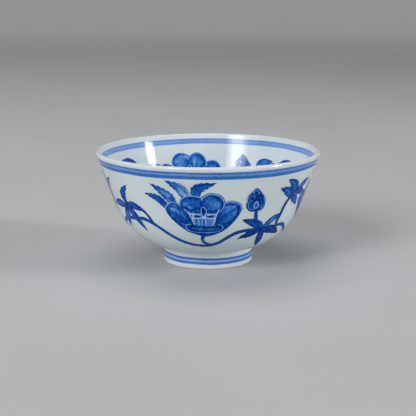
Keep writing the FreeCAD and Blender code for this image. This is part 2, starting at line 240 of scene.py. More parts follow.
def painted_rings_group():
    """Two brushed cobalt lines with a wash between them, by height: how much ink is there."""
    graph, given, out = new_group(
        "painted_rings",
        [("Bottom", "Float", 0.0), ("Top", "Float", 1.0),
         ("Lower Line", "Float", 0.35), ("Upper Line", "Float", 0.35),
         ("Lower Ink", "Float", 0.7), ("Wash Ink", "Float", 0.4), ("Upper Ink", "Float", 0.6),
         ("Soft", "Float", 0.08), ("Wobble", "Float", 0.15 * MM)],
        [("Ink", "Float")])
    where = graph.add("ShaderNodeNewGeometry").outputs["Position"]
    split = graph.add("ShaderNodeSeparateXYZ")
    graph.feed(split, 0, where)
    sway = graph.vary(graph.noise(where, BRUSH_SWAYS), -1.0, 1.0)
    height = graph.math("ADD", split.outputs[2], graph.math("MULTIPLY", sway, given["Wobble"]))
    share = graph.math("DIVIDE", graph.math("SUBTRACT", height, given["Bottom"]),
                       graph.math("SUBTRACT", given["Top"], given["Bottom"]))
    soft = given["Soft"]
    rise = graph.spread(share, graph.math("MULTIPLY", soft, -1.0), soft, smooth=True)
    fall = graph.spread(share, graph.math("SUBTRACT", 1.0, soft), graph.math("ADD", 1.0, soft),
                        1.0, 0.0, smooth=True)
    wash_start = given["Lower Line"]
    wash_end = graph.math("SUBTRACT", 1.0, given["Upper Line"])
    lower = graph.spread(share, graph.math("SUBTRACT", wash_start, soft),
                         graph.math("ADD", wash_start, soft),
                         given["Lower Ink"], given["Wash Ink"], smooth=True)
    enter = graph.spread(share, graph.math("SUBTRACT", wash_end, soft),
                         graph.math("ADD", wash_end, soft), smooth=True)
    gain = graph.math("MULTIPLY", enter, graph.math("SUBTRACT", given["Upper Ink"], given["Wash Ink"]))
    load = graph.vary(graph.noise(where, BRUSH_LOADS), 0.9, 1.1)
    ink = graph.math("MULTIPLY", graph.math("ADD", lower, gain), load)
    graph.feed(out, "Ink", graph.math("MULTIPLY", graph.math("MULTIPLY", rise, fall), ink))
    return graph.tree


def cobalt_group():
    """Cobalt under the glaze: white, pale blue, clear blue and inky blue as the ink gets
    stronger."""
    graph, given, out = new_group(
        "cobalt_under_glaze",
        [("Ink", "Float", 0.0), ("White", "Color", GLAZE_WHITE), ("Mottle", "Float", 0.12)],
        [("Color", "Color")])
    where = graph.add("ShaderNodeNewGeometry").outputs["Position"]
    mottle = graph.vary(graph.noise(where, COBALT_GRAINS, 3.0, 0.6), -1.0, 1.0)
    change = graph.math("MULTIPLY", graph.math("MULTIPLY", mottle, given["Mottle"]), given["Ink"])
    ink = graph.math("ADD", given["Ink"], change, clamp=True)
    cover = graph.spread(ink, 0.0, FULL_COVER)
    graph.feed(out, "Color", graph.mix(cover, given["White"], graph.ramp(ink, COBALT_STOPS)))
    return graph.tree


GLAZE = porcelain_glaze_group()
RINGS = painted_rings_group()
COBALT = cobalt_group()


# ---------------------------------------------------------------- materials

def new_material(name):
    material = bpy.data.materials.new(name)
    material.use_nodes = True
    graph = Graph(material.node_tree)
    shader = material.node_tree.nodes["Principled BSDF"]
    return material, graph, shader


def bump(graph, shader, height, distance):
    node = graph.add("ShaderNodeBump")
    graph.feed(node, "Strength", 1.0)
    graph.feed(node, "Distance", distance)
    graph.feed(node, "Height", height)
    graph.feed(shader, "Normal", node.outputs["Normal"])


OUTER_WHITE = (0.655, 0.745, 0.76, 1.0)
INNER_WHITE = (0.68, 0.765, 0.795, 1.0)
LIP_WHITE = (0.71, 0.755, 0.775, 1.0)
FOOT_WHITE = (0.73, 0.755, 0.76, 1.0)
IRON_SPECK = (0.42, 0.34, 0.27, 1.0)
CLAY_TONES = [(0.3, (0.66, 0.62, 0.55)), (0.7, (0.76, 0.74, 0.70))]

# specular levels of the faces
OUTER_SHINE, LIP_SHINE, INNER_SHINE, SCROLL_SHINE = 0.19, 0.4, 0.41, 0.07
GLAZE_IOR = 1.5
INNER_STRENGTH = 0.84    # the ink inside is a little thinner
RIPPLE_DEPTH, CLAY_DEPTH = 0.06 * MM, 0.05 * MM


def glazed_material(name, rings=None, paint=None, white=OUTER_WHITE, shine=OUTER_SHINE, strength=1.0):
    """Glazed porcelain. rings holds the settings of a painted band; paint names the brushwork's ink
    attribute, and strength thins or thickens that ink."""
    material, graph, shader = new_material(name)
    glaze = place_group(graph, GLAZE, white=white)
    ink = place_group(graph, RINGS, **rings)["Ink"] if rings else None
    if paint:
        ink = graph.add("ShaderNodeAttribute", attribute_name=paint).outputs["Fac"]
        ink = graph.math("MULTIPLY", ink, strength)
    colour = glaze["Color"]
    if ink is not None:
        colour = place_group(graph, COBALT, ink=ink, white=colour)["Color"]
    graph.feed(shader, "Base Color", colour)
    graph.feed(shader, "Roughness", glaze["Roughness"])
    shader.inputs["IOR"].default_value = GLAZE_IOR
    shader.inputs["Specular IOR Level"].default_value = shine
    bump(graph, shader, glaze["Height"], RIPPLE_DEPTH)
    return material


def clay_material(name):
    """Bare fired porcelain, matt, with a fine grain and a warm tinge near the kiln shelf."""
    material, graph, shader = new_material(name)
    where = graph.add("ShaderNodeNewGeometry").outputs["Position"]
    grit = graph.noise(where, CLAY_GRAINS, 4.0, 0.65)
    colour = graph.ramp(graph.noise(where, CLAY_CLOUDS, 3.0), CLAY_TONES)
    speck = graph.spread(grit, 0.62, 0.75, 0.0, 0.5)
    graph.feed(shader, "Base Color", graph.mix(speck, colour, IRON_SPECK))
    graph.feed(shader, "Roughness", graph.vary(grit, 0.75, 0.92))
    bump(graph, shader, grit, CLAY_DEPTH)
    return material


def ring_settings(lower, upper, **inks):
    """Heights of a painted band, from its lowest and highest ring nodes."""
    bottom, lower_top = (corner.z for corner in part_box(lower))
    upper_bottom, top = (corner.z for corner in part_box(upper))
    width = top - bottom
    return dict(bottom=bottom, top=top, lower_line=(lower_top - bottom) / width,
                upper_line=(top - upper_bottom) / width, **inks)


RIM_RINGS = ring_settings("rim_lower_line", "rim_upper_line",
                          lower_ink=0.50, wash_ink=0.31, upper_ink=0.44)
FOOT_RINGS = ring_settings("foot_lower_line", "foot_upper_line",
                           lower_ink=0.44, wash_ink=0.20, upper_ink=0.52)
INNER_RINGS = ring_settings("inner_lower_line", "inner_upper_line",
                            lower_ink=0.34, wash_ink=0.27, upper_ink=0.34)


def dress(node, material):
    slots = nodes[node].data.materials
    slots.clear()
    slots.append(material)


def dress_nodes():
    lip = glazed_material("lip_glaze_white", white=LIP_WHITE, shine=LIP_SHINE)
    plain = glazed_material("plain_porcelain_glaze")
    outside = glazed_material("outer_glaze_with_rim_rings", RIM_RINGS)
    inside = glazed_material("inner_glaze_with_rings", INNER_RINGS, white=INNER_WHITE,
                             shine=INNER_SHINE)
    foot = glazed_material("foot_glaze_with_rings", FOOT_RINGS, white=FOOT_WHITE)
    clay = clay_material("bare_porcelain_clay")
    for material, pieces in [
            (outside, ("belly_glaze", "rim_lower_line", "rim_wash", "rim_upper_line")),
            (inside, ("inner_upper_line", "inner_wash", "inner_lower_line", "interior_glaze")),
            (foot, ("foot_upper_glaze", "foot_upper_line", "foot_wash", "foot_lower_line",
                    "foot_lower_glaze")),
            (lip, ("lip_glaze",)), (plain, ("recess_glaze",)), (clay, ("bowl_wall", "foot_ring"))]:
        for piece in pieces:
            dress(piece, material)


# ---------------------------------------------------------------- the unrolled wall

ROUND = 50.0          # radius, in millimetres, at which the drawing is true to size
STEP = 0.2            # spacing of the drawn points
EDGE = 0.16           # softness of a brush edge
BARE = -9.0           # depth of a point that no stroke has come near
SPLINE_STEPS = 10     # points between two given ones
GRAIN_CELLS = 64
TINY, FAR = 1e-12, 1e9


def smooth(value):
    """A soft step from 0, at -1, to 1, at 1."""
    t = np.clip(value * 0.5 + 0.5, 0.0, 1.0)
    return t * t * (3.0 - 2.0 * t)


def spline(points, closed=False):
    """A smooth line through given points."""
    p = np.array(points, float)
    if closed:
        p = np.vstack([p[-1:], p, p[:2]])
    else:
        p = np.vstack([2 * p[:1] - p[1:2], p, 2 * p[-1:] - p[-2:-1]])
    t = np.linspace(0.0, 1.0, SPLINE_STEPS, endpoint=False)[:, None]
    parts = []
    for a, b, c, d in zip(p[:-3], p[1:-2], p[2:-1], p[3:]):
        bend = 2 * a - 5 * b + 4 * c - d + t * (3 * (b - c) + d - a)
        parts.append(b + 0.5 * t * (c - a + t * bend))
    line = np.vstack(parts)
    return line if closed else np.vstack([line, p[-2:-1]])


def grain(u, v, seed):
    """Smooth noise between -1 and 1."""
    n = GRAIN_CELLS
    table = np.random.default_rng(seed).uniform(-1.0, 1.0, (n, n))
    i, j = np.floor(u).astype(int), np.floor(v).astype(int)
    fu, fv = u - i, v - j
    fu, fv = fu * fu * (3 - 2 * fu), fv * fv * (3 - 2 * fv)
    low_row = table[j % n, i % n] * (1 - fu) + table[j % n, (i + 1) % n] * fu
    high_row = table[(j + 1) % n, i % n] * (1 - fu) + table[(j + 1) % n, (i + 1) % n] * fu
    return low_row * (1 - fv) + high_row * fv


def off_run(x, s, a, b):
    """Place along the straight run from a to b, from 0 to 1, and the square of the way off it."""
    dx, ds = b - a
    t = np.clip(((x - a[0]) * dx + (s - a[1]) * ds) / (dx * dx + ds * ds + TINY), 0.0, 1.0)
    return t, (x - a[0] - t * dx) ** 2 + (s - a[1] - t * ds) ** 2


class Sheet:
    """A window of the unrolled wall that brushwork is laid on: x runs round the bowl, s up its wall.
    ink is how much cobalt lies at each point, reach how far inside the painted edge it is."""

    def __init__(self, left, right, bottom, top):
        self.left, self.bottom = left, bottom
        self.x, self.s = np.meshgrid(np.arange(left, right, STEP), np.arange(bottom, top, STEP))
        self.ink = np.zeros_like(self.x)
        self.reach = np.full_like(self.x, BARE)

    def window(self, line, margin=2.0):
        """The part of the sheet within a margin of a line."""
        low_end, high_end = line.min(0) - margin, line.max(0) + margin
        start = [self.left, self.bottom]
        span = [slice(max(int((low_end[i] - start[i]) / STEP), 0),
                      max(int((high_end[i] - start[i]) / STEP) + 2, 0)) for i in (0, 1)]
        return span[1], span[0]

    def lay(self, part, depth, ink):
        """Paints ink where depth is above zero, over what is there."""
        cover = smooth(depth / EDGE)
        self.ink[part] += (ink - self.ink[part]) * cover
        self.reach[part] = np.maximum(self.reach[part], depth)

    def near(self, part, line):
        """Distance to an open line, place along it from 0 to 1, and signed distance across it."""
        x, s = self.x[part], self.s[part]
        best = np.full(x.shape, FAR)
        along, across = np.zeros(x.shape), np.zeros(x.shape)
        for k, (a, b) in enumerate(zip(line[:-1], line[1:])):
            dx, ds = b - a
            t, gap = off_run(x, s, a, b)
            closer = gap < best
            best = np.where(closer, gap, best)
            along = np.where(closer, (k + t) / (len(line) - 1), along)
            across = np.where(closer, (x - a[0]) * -ds + (s - a[1]) * dx, across)
        away = np.sqrt(best)
        return away, along, away * np.sign(across)

    def inside(self, part, outline):
        """Signed distance to a closed outline, above zero inside it."""
        x, s = self.x[part], self.s[part]
        best = np.full(x.shape, FAR)
        odd = np.zeros(x.shape, bool)
        for a, b in zip(outline, np.roll(outline, -1, 0)):
            dx, ds = b - a
            best = np.minimum(best, off_run(x, s, a, b)[1])
            if ds:
                odd ^= ((a[1] > s) != (b[1] > s)) & (x < dx * (s - a[1]) / ds + a[0])
        return np.where(odd, 1.0, -1.0) * np.sqrt(best)


# ---------------------------------------------------------------- brush strokes

def stroke(sheet, points, width, ink, tip=1.0, seed=1):
    """A brush line of swelling width; tip is its width at the end, as a share."""
    line = spline(points)
    part = sheet.window(line, width + 1.0)
    away, along, _ = sheet.near(part, line)
    way = along * len(line)
    half = 0.5 * width * (1 + (tip - 1) * along) * (1 + 0.12 * grain(way * 0.22, 0 * along, seed))
    depth = half - away
    tone = ink + 0.10 * grain(way * 0.35, away * 3.0, seed + 1) - 0.12 * smooth((depth - 0.5) / 0.3)
    sheet.lay(part, depth, tone)


def fill(sheet, points, ink, streak=0.1, lean=(0.3, 2.2), *, seed):
    """A small closed dab of even ink with faint streaks."""
    outline = spline(points, closed=True)
    part = sheet.window(outline)
    depth = sheet.inside(part, outline)
    tone = ink + streak * grain(sheet.x[part] * lean[1], sheet.s[part] * lean[0], seed)
    sheet.lay(part, depth, tone)


def petal(sheet, points, root, wash, edge=0.92, *, shade, seed, halo_above=None, halo=1.0,
          fold=0.0):
    """A petal: dark contour, streaky wash from its root, a white reserve line and a pale outline.
    The reserve line and the outline, halo times their usual width, fade out below halo_above; fold
    is the strength of a second, inner contour."""
    outline = spline(points, closed=True)
    part = sheet.window(outline, 3.0)
    depth = sheet.inside(part, outline)
    x, s = sheet.x[part] - root[0], sheet.s[part] - root[1]
    turn, away = np.arctan2(s, x), np.hypot(x, s)
    depth = depth + 0.20 * grain(sheet.x[part] * 0.32, sheet.s[part] * 0.32, seed + 3)
    size = away[depth > 0].max()
    fine = grain(turn * 26.0, away * 0.30, seed)
    broad = grain(turn * 8.0, away * 0.22, seed + 1)
    blot = grain(sheet.x[part] * 0.9, sheet.s[part] * 0.9, seed + 2)
    streak = grain(turn * 15.0, away * 0.16, seed + 4)
    near_root = np.clip(1.25 - 1.5 * away / size, 0, 1)
    tone = wash + 0.12 * fine + 0.10 * streak + 0.13 * broad + 0.09 * blot
    tone = tone + shade * near_root * (1 + 0.5 * broad)
    tone = tone + 0.16 * smooth((1.3 + 0.7 * blot - depth) / 0.6)
    contour = smooth((0.33 + 0.16 * blot - np.abs(depth - 0.28)) / 0.17)
    tone = tone + (edge - tone) * contour * np.clip(0.85 + 0.7 * broad, 0, 1)
    if fold:
        crease = smooth((0.2 - np.abs(depth - 1.45 - 0.35 * broad)) / 0.16)
        tone = tone + (edge - tone) * crease * smooth((blot + 0.15) / 0.3) * fold
    if halo_above is None:
        sheet.lay(part, depth, tone)
        return
    rise = smooth((sheet.s[part] - halo_above) / 2.5)
    gap = (0.42 + 0.06 * blot) * rise * halo
    ring = smooth((depth + 0.05) / 0.12)
    pale = smooth((0.28 - np.abs(depth + gap + 0.28)) / 0.15) * rise
    tone = tone * ring + (1 - ring) * (0.03 + 0.62 * halo * pale)
    sheet.lay(part, depth + gap + 0.60 * rise * halo**0.5, tone)


LEAF_EDGE = 0.93      # ink of a leaf's edge, tip and foot


def leaf(sheet, points, width, teeth, wash, vein=0.15, *, seed):
    """A leaf along its midrib, from stalk to tip; teeth is the number of cuts in each edge, and
    vein how pale the midrib is."""
    line = spline(points)
    part = sheet.window(line, width)
    away, along, across = sheet.near(part, line)
    side = np.sign(across)
    belly = np.sin(np.pi * along ** 0.85) ** 0.8
    half = 0.5 * width * (0.16 * (1 - along) + belly)
    if teeth:
        saw = 1.0 - (along * teeth + 0.35 * side) % 1.0
        half = half - 0.62 * saw * np.clip(3.0 * belly, 0, 1)
    half = half * (1 + 0.10 * grain(along * 5.0, 0.5 + side, seed))
    depth = half - away
    length = np.hypot(*np.diff(line, axis=0).T).sum()
    fine = grain(along * length * 0.30, across * 2.8, seed + 1)
    broad = grain(along * length * 0.40, across * 0.9, seed + 2)
    tone = wash + 0.18 * fine + 0.20 * broad
    tone = tone + (LEAF_EDGE - tone) * smooth((0.36 + 0.2 * broad - depth) / 0.25) * 0.8
    tone = tone + (LEAF_EDGE - tone) * smooth((along - 0.84) / 0.14) * 0.85
    tone = tone + (LEAF_EDGE - tone) * smooth((0.12 - along) / 0.10) * 0.6
    rib = smooth((0.18 - np.abs(across + 0.15 * broad)) / 0.13) * smooth((0.8 - along) / 0.1)
    sheet.lay(part, depth, tone - vein * rib)


# ---------------------------------------------------------------- laying brushwork on the bowl

FACING = 0.05         # least share of a polygon's normal that has to point the face's way
ROW_GAP = 0.02        # least height between two rows of the outline, in millimetres
PAINT_MARGIN = 0.02   # how far a film goes past the edge of its paint
LEAST_DEPTH = 0.01    # keeps a cut off the grid's own points


class Wall:
    """The wall's face, read from its glaze node: where a drawn point lies in space. face is 1 for the
    outer face and -1 for the inner one, and top is the drawn height of the face's upper end."""

    def __init__(self, node, face, top=None):
        mesh = nodes[node].data
        rows = set()
        for polygon in mesh.polygons:
            centre = polygon.center
            radial = centre.x * polygon.normal.x + centre.y * polygon.normal.y
            if face * radial / math.hypot(centre.x, centre.y) > FACING:
                for index in polygon.vertices:
                    v = mesh.vertices[index].co
                    rows.add((round(v.z / MM, 4), round(math.hypot(v.x, v.y) / MM, 3)))
        rows = np.array(sorted(rows))
        keep = np.concatenate([[True], np.diff(rows[:, 0]) > ROW_GAP])
        self.z, self.r = rows[keep, 0], rows[keep, 1]
        self.length = np.concatenate([[0.0], np.cumsum(np.hypot(np.diff(self.z), np.diff(self.r)))])
        if top is not None:
            self.length = self.length - self.length[-1] + top
        slope_z, slope_r = np.gradient(self.z, self.length), np.gradient(self.r, self.length)
        self.out_r, self.out_z = face * slope_z, -face * slope_r
        self.face = face

    def place(self, x, s, turn, lift):
        """Points and outward directions for drawn x and s, turned round the bowl."""
        angle = math.radians(turn) + x / ROUND
        if self.face < 0:
            angle = math.radians(turn) + math.pi - x / ROUND
        nr, nz = np.interp(s, self.length, self.out_r), np.interp(s, self.length, self.out_z)
        size = np.hypot(nr, nz)
        nr, nz = nr / size, nz / size
        r = np.interp(s, self.length, self.r) + lift * nr
        z = np.interp(s, self.length, self.z) + lift * nz
        side, front = np.sin(angle), -np.cos(angle)
        return (np.stack([r * side, r * front, z], 1) * MM,
                np.stack([nr * side, nr * front, nz], 1))


def cut_out(sheet):
    """Triangles of the sheet where it is painted, cut along the edge of the paint."""
    value = (sheet.reach + PAINT_MARGIN).ravel()
    value = np.where(np.abs(value) < LEAST_DEPTH, LEAST_DEPTH, value)
    rows, columns = sheet.x.shape
    index = np.arange(rows * columns).reshape(rows, columns)
    a, b = index[:-1, :-1].ravel(), index[:-1, 1:].ravel()
    c, d = index[1:, 1:].ravel(), index[1:, :-1].ravel()
    triangles = np.vstack([np.stack([a, b, c], 1), np.stack([a, c, d], 1)])
    held = value[triangles] > 0
    count = held.sum(1)
    whole = triangles[count == 3]
    pairs, cut = [], []
    for number in (1, 2):
        some = triangles[count == number]
        flags = held[count == number]
        odd_one = np.argmax(flags if number == 1 else ~flags, axis=1)
        first = some[np.arange(len(some)), odd_one]
        second = some[np.arange(len(some)), (odd_one + 1) % 3]
        third = some[np.arange(len(some)), (odd_one + 2) % 3]
        cut.append((number, first, second, third))
        pairs += [np.stack([first, second], 1), np.stack([first, third], 1)]
    joined = np.sort(np.vstack(pairs), axis=1)
    edges, place = np.unique(joined, axis=0, return_inverse=True)
    place = place.ravel() + rows * columns
    faces = [whole]
    start = 0
    for number, first, second, third in cut:
        n = len(first)
        one, two = place[start:start + n], place[start + n:start + 2 * n]
        start += 2 * n
        if number == 1:
            faces.append(np.stack([first, one, two], 1))
        else:
            faces += [np.stack([one, second, third], 1), np.stack([one, third, two], 1)]
    faces = np.vstack(faces)
    share = value[edges[:, 0]] / (value[edges[:, 0]] - value[edges[:, 1]])

    def spread(field):
        flat = field.ravel()
        return np.concatenate([flat, flat[edges[:, 0]] * (1 - share) + flat[edges[:, 1]] * share])

    used, faces = np.unique(faces, return_inverse=True)
    faces = faces.reshape(-1, 3)
    return spread(sheet.x)[used], spread(sheet.s)[used], spread(sheet.ink)[used], faces


def film(name, sheet, wall, turn, lift, material, sway=0.0, across=0.0, up=0.0):
    """One painted piece: a thin film on the glaze, with its ink kept at every point. turn is in
    degrees and lift in millimetres; sway bends the strokes, and across and up shift them."""
    x, s, ink, faces = cut_out(sheet)
    bent_x = x + across + sway * 0.5 * np.sin(s * 0.21 + turn)
    bent_s = s + up + sway * 0.4 * np.sin(x * 0.17 + turn * 2.0)
    points, normals = wall.place(bent_x, bent_s, turn, lift)
    mesh = bpy.data.meshes.new(name)
    mesh.from_pydata(points.tolist(), [], faces.tolist())
    mesh.shade_smooth()
    mesh.attributes.new("ink", "FLOAT", "POINT").data.foreach_set("value", np.clip(ink, 0, 1))
    layer = mesh.uv_layers.new(name="OFBake")
    corner = np.zeros(len(mesh.loops), int)
    mesh.loops.foreach_get("vertex_index", corner)
    u, v = (x - x.min()) / np.ptp(x), (s - s.min()) / np.ptp(s)
    layer.data.foreach_set("uv", (0.01 + 0.98 * np.stack([u, v], 1)[corner]).ravel())
    mesh.normals_split_custom_set_from_vertices(normals.tolist())
    mesh.materials.append(material)
    piece = bpy.data.objects.new(name, mesh)
    bpy.context.scene.collection.objects.link(piece)
    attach(piece, "root")


# ---------------------------------------------------------------- the flower scroll

VINE_LOW = (-4.0, 17.9)            # the vine's lowest point, under a blossom
QUARTER = 0.5 * math.pi * ROUND    # drawn length of a quarter of the bowl
BLOSSOM_AXIS = -2.0
VINE_INK = 0.84


def moved(points, across, up):
    return [(x + across, s + up) for x, s in points]


def mirrored(points):
    return [(2.0 * BLOSSOM_AXIS - x, s) for x, s in points]


def shrunk(points, about, share):
    return [(about[0] + (x - about[0]) * share, about[1] + (s - about[1]) * share) for x, s in points]


def draw_blossom(inner, seed):
    """The open flower: four petals round a cup, a rolled petal in front and the calyx under it.
    Inside the bowl its upper left petal stands as high as the right one."""
    sheet = Sheet(-24.5, 18.5, 24.0, 53.0)
    heart, reserve = (-2.0, 31.0), 0.5 if inner else 1.0
    petal(sheet, [(-19.8, 42.0), (-20.3, 39.8), (-19.2, 37), (-16.6, 33.6), (-13.2, 30.4), (-8.8, 27.6),
                  (-5.8, 30), (-7.4, 36), (-9.4, 39.2), (-11.6, 41.6), (-14, 43.5), (-17.4, 44.2)],
          heart, 0.48, 0.84, shade=0.42, halo_above=39.5, halo=0.65 * reserve, fold=0.9,
          seed=seed + 41)
    left = [(-12.6, 42.4), (-12.2, 45.6), (-9.8, 47.8), (-6.8, 48.3), (-3.6, 47.5), (-1.8, 45),
            (-2, 41), (-5, 38.8), (-9.5, 39.5)]
    if inner:
        left = moved(left, 0.4, 1.2)
    petal(sheet, left, heart, 0.50, shade=0.25, halo_above=43, halo=0.55 * reserve, seed=seed + 11)
    petal(sheet, [(6.0, 42.6), (9, 44.6), (12.2, 44.9), (14.7, 43.2), (15.6, 40.4), (15.0, 37.4),
                  (12.9, 34.0), (9.8, 30.6), (5.5, 27.6), (1.6, 30), (3.0, 36), (4.0, 39.6)],
          heart, 0.52, shade=0.45, halo_above=39.5, halo=0.85 * reserve, fold=1.0, seed=seed + 31)
    petal(sheet, [(-2.9, 43), (-2.3, 46.8), (0, 48.9), (2.6, 49.3), (5.4, 48), (7.0, 45.2), (6.9, 42.4),
                  (5, 40), (2, 38.8), (-1.5, 39.5)],
          heart, 0.49, shade=0.2, halo_above=41, halo=reserve, fold=0.8, seed=seed + 21)
    deepen_petals(sheet)
    draw_cup(sheet, seed)
    fill(sheet, [(-13.2, 30.8), (-9.4, 28.0), (-5.2, 26.3), (-1.6, 25.3), (2.4, 26.1), (6.2, 28.0),
                 (9.6, 30.9), (4, 32), (-3, 32), (-9.0, 32.2)], 0.80, 0.16, seed=seed + 51)
    petal(sheet, [(-10.6, 31.4), (-9.8, 29.6), (-7, 28.7), (-2.5, 28.4), (3, 28.7), (6.2, 29.8),
                  (7.1, 31.3), (5.4, 32.3), (2, 32.0), (-2, 32.1), (-6.5, 32.5), (-9.2, 32.8)],
          (-1.5, 26.0), 0.66, shade=0.0, seed=seed + 61)
    rim = [(-8.6, 33.0), (-10.7, 32.6), (-11.0, 30.9), (-9.9, 29.3), (-7, 28.3), (-2.5, 28.0),
           (3, 28.3), (6.4, 29.4), (7.6, 31.1), (6.6, 32.5), (5.2, 32.8)]
    stroke(sheet, rim, 0.42, 0.20)
    stroke(sheet, [(-9.0, 30.7), (-4, 29.9), (2, 29.9), (5.6, 30.6)], 0.4, 0.48)
    stroke(sheet, [(-9.2, 30.4), (-8.8, 31.4), (-7.2, 31.9)], 0.8, 0.97)
    stroke(sheet, [(3.9, 31.2), (5.6, 31.4), (6.2, 30.8)], 0.9, 0.97)
    return sheet


def deepen_petals(sheet):
    """Darker touches where the petals overlap and turn under."""
    for points, width, ink in [
            ([(-17.6, 35.4), (-15.0, 33.4), (-12.2, 31.6)], 1.1, 0.86),
            ([(-19.3, 39.4), (-18.4, 36.9)], 0.8, 0.92),
            ([(-17.8, 42.4), (-13.4, 41.0), (-10.2, 38.2)], 0.6, 0.74),
            ([(-10.0, 36.5), (-8.4, 33.5), (-7.6, 31.5)], 1.6, 0.86),
            ([(-15.5, 37.5), (-12.5, 34.5), (-9.5, 32.5)], 0.5, 0.80),
            ([(-10.8, 42.2), (-8.8, 41.2), (-6.0, 40.8)], 1.3, 0.90),
            ([(-6.4, 41.0), (-4.6, 42.2), (-3.4, 40.8)], 0.9, 0.92),
            ([(-9.4, 43.6), (-7.8, 44.2)], 0.6, 0.82),
            ([(-3.3, 46.0), (-3.1, 42.6), (-2.9, 41.0)], 0.9, 0.88),
            ([(0.0, 41.2), (2.4, 40.4), (4.4, 41.2)], 0.8, 0.84),
            ([(-1.4, 43.6), (-0.4, 41.6)], 0.8, 0.86),
            ([(14.2, 41.2), (14.3, 38.8), (12.6, 35.8)], 0.9, 0.9),
            ([(11.8, 35.0), (9.4, 33.4), (6.6, 32.8)], 1.1, 0.93),
            ([(8.6, 39.6), (7.0, 37.2), (5.6, 34.4)], 0.5, 0.76),
            ([(5.4, 38.0), (4.8, 35.4), (5.0, 33.0)], 1.3, 0.84),
            ([(9.6, 31.6), (7.6, 30.6)], 1.0, 0.95)]:
        stroke(sheet, points, width, ink, 0.6, seed=int(400 + points[0][0] * 7))


def draw_cup(sheet, seed):
    """The pale cup at the heart of the blossom, with its white reserve lines."""
    fill(sheet, [(-9.6, 39.9), (-6, 39.2), (-1.8, 39.4), (3.2, 39.2), (4.6, 40.2), (3.9, 37),
                 (3.2, 33.5), (2.4, 31.2), (-6, 31.2), (-7.2, 34), (-8.2, 37)],
         0.34, 0.24, (0.15, 2.4), seed=seed + 71)
    stroke(sheet, [(-11.2, 41.2), (-9.5, 39.4), (-8.2, 37), (-7.4, 34.5), (-6.8, 32.8)], 0.42, 0.08)
    stroke(sheet, [(5.2, 41.4), (4.3, 39), (3.7, 36.5), (3.3, 33.8)], 0.42, 0.08)
    stroke(sheet, [(-8.4, 38.8), (-5, 38.6), (-2, 37.1), (1, 38.6), (4.0, 38.6)], 0.45, 0.08)
    stroke(sheet, [(-7.6, 36.5), (-5, 36.4), (-2, 37), (1, 36.3), (3.6, 36.5)], 0.45, 0.06)
    stroke(sheet, [(-2, 37.1), (-1.2, 34.9), (-1.2, 32.8)], 0.3, 0.1)
    stroke(sheet, [(-2, 37.1), (-2.8, 34.9), (-2.8, 32.8)], 0.3, 0.1)
    stroke(sheet, [(-2, 37.1), (-3.1, 39.0), (-3.2, 41.0), (-2.6, 42.6), (-1.4, 42.4), (-0.8, 40.8),
                   (-1.0, 38.8), (-2, 37.1)], 0.36, 0.16)
    fill(sheet, [(-6.8, 37.5), (-4.8, 38.1), (-2.9, 37.3), (-4.8, 36.9)], 0.9, seed=72)
    fill(sheet, [(-1.2, 37.3), (1, 38.0), (3.1, 37.7), (1, 36.9)], 0.88, seed=73)
    fill(sheet, [(-2.2, 41.7), (-1.5, 40.2), (-1.9, 37.9), (-2.7, 39.0), (-2.8, 40.6)], 0.92, seed=74)
    for x in (-6.2, -5.1, -4.0, -0.2, 0.9, 2.1):
        stroke(sheet, [(x, 36.0), (0.9 * x - 0.1, 33.0)], 0.3, 0.55, seed=80 + int(x))
    stroke(sheet, [(-1.95, 35.8), (-1.9, 33)], 0.7, 0.68)


# the leaves behind a blossom: midrib, width, wash and vein
SPRAY = [([(-19.0, 40.3), (-23.3, 45.9), (-30.8, 48.4)], 4.3, 0.66, 0.08),
         ([(-15.0, 42.5), (-19.1, 48.7), (-26.6, 54.2)], 4.9, 0.52, 0.08),
         ([(-9.6, 46.0), (-11.8, 51.8), (-18.8, 56.4)], 5.2, 0.35, 0.12),
         ([(-5.4, 46.5), (-4.6, 52.2), (3.8, 55.6)], 5.4, 0.64, 0.28)]


def draw_spray(flip, seed):
    """Saw-edged leaves behind a blossom: four, or three the other way round and lower."""
    sheet = Sheet(-9.0, 27.0, 38.0, 58.0) if flip else Sheet(-33.0, 6.0, 38.0, 58.0)
    for number, (points, width, wash, vein) in enumerate(SPRAY):
        if flip and number == 0:
            continue
        leaf(sheet, moved(mirrored(points), 0.0, -1.7) if flip else points, width, 8, wash, vein,
             seed=seed + 100 + 10 * number)
    return sheet


def draw_leaves(window, leaves, seed):
    """A sheet of leaves: midrib, width, teeth and wash of each."""
    sheet = Sheet(*window)
    for number, (points, width, teeth, wash) in enumerate(leaves):
        leaf(sheet, points, width, teeth, wash, seed=seed + 10 * number)
    return sheet


def draw_inner_leaves(seed):
    """Inside, low leaves on thin stalks between the blossoms, in place of the tall ones outside."""
    sheet = draw_leaves((-56.0, 66.0, 26.0, 53.0), [
        ([(-18.0, 41.0), (-23.0, 43.6), (-29.0, 45.0)], 3.6, 7, 0.60),
        ([(-35.0, 44.0), (-41.0, 48.2), (-49.5, 49.6)], 4.0, 0, 0.86),
        ([(38.0, 41.5), (41.0, 45.4), (48.0, 47.0)], 4.6, 0, 0.72),
        ([(42.0, 40.5), (48.0, 44.2), (54.0, 44.6)], 4.4, 6, 0.80),
        ([(50.0, 43.0), (56.0, 47.0), (62.0, 49.2)], 3.4, 0, 0.80)], seed + 150)
    stroke(sheet, [(-46.0, 33.0), (-42.4, 36.4), (-37.4, 39.6), (-34.6, 43.0), (-37.0, 45.6)],
           1.5, 0.9)
    stroke(sheet, [(38.4, 28.0), (37.4, 33.0), (38.8, 38.0), (42.6, 41.6), (47.0, 43.2), (52.0, 44.4)],
           1.6, 0.9)
    return sheet


